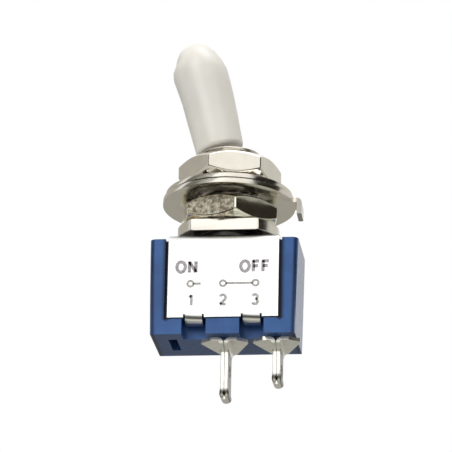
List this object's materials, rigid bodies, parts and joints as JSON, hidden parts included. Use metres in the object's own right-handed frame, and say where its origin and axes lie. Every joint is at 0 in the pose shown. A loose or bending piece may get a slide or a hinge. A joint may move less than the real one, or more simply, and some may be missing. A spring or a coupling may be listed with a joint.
{
  "type": "panel toggle switch",
  "caption": "Subminiature panel toggle switch: moulded case in a steel frame, threaded bushing with nuts and washers, sleeved lever, folded solder lugs.",
  "frame": {"origin": "on the bushing's axis, at the top face of the back nut, where a panel seats", "axes": "+Z along the bushing's axis, out through the panel; +X is the way the lever moves when it switches off; -Y is the printed front"},
  "size_m": [0.0131, 0.0118, 0.0338],
  "materials": {
    "case_plastic": "moulded, semi-gloss",
    "frame_steel": "bright plated sheet",
    "nickel_plate": "nickel plated",
    "nut_plate": "nickel plated, lightly scuffed",
    "washer_plate": "nickel plated, stamped",
    "cap_vinyl": "smooth soft vinyl",
    "nylon": "smooth moulded",
    "spring_steel": "drawn wire",
    "contact_brass": "stamped strip",
    "contact_silver": "silver rivet",
    "tinned_brass": "silver plated strip"
  },
  "bodies": {
    "housing": {"case": "case_plastic", "frame": "frame_steel", "bushing": "nickel_plate", "common_terminal": "tinned_brass", "live_terminal": "tinned_brass", "fixed_contact": "contact_silver"},
    "lever": {"lever": "nickel_plate", "lever_cap": "cap_vinyl", "plunger_spring": "spring_steel"},
    "plunger": {"plunger": "nylon"},
    "rocker": {"rocker": "contact_brass", "moving_contact": "contact_silver"},
    "back_nut": {"back_nut": "nut_plate"},
    "washers": {"keyed_washer": "washer_plate", "lock_washer": "washer_plate"},
    "front_nut": {"front_nut": "nut_plate"}
  },
  "joints": [
    {"name": "lever_tilt", "type": "hinge", "parent": "housing", "child": "lever", "pos_m": [0, 0, 0.0017], "axis": [0, 1, 0], "range_deg": [0, 28]},
    {"name": "plunger_slide", "type": "slide", "parent": "lever", "child": "plunger", "axis": [-0.2419, 0, 0.9703], "range_m": [0, 0.0005], "stiffness_N_per_m": 300, "springref_m": -0.002, "deforming": ["plunger_spring"]},
    {"name": "rocker_tilt", "type": "hinge", "parent": "housing", "child": "rocker", "pos_m": [0, 0, -0.0096], "axis": [0, 1, 0], "range_deg": [-14, 0]},
    {"name": "back_nut_turn", "type": "hinge", "parent": "housing", "child": "back_nut", "pos_m": [0, 0, 0], "axis": [0, 0, 1], "range_deg": [0, 360]},
    {"name": "washers_rise", "type": "slide", "parent": "housing", "child": "washers", "axis": [0, 0, 1], "range_m": [0, 0.00075]},
    {"name": "front_nut_turn", "type": "hinge", "parent": "washers", "child": "front_nut", "pos_m": [0, 0, 0], "axis": [0, 0, 1], "range_deg": [0, 360]}
  ],
  "couplings": [
    {"joint": "rocker_tilt", "follows": "lever_tilt", "ratio": -0.5},
    {"joint": "front_nut_turn", "follows": "washers_rise", "rad_per_m": 8377.6}
  ]
}
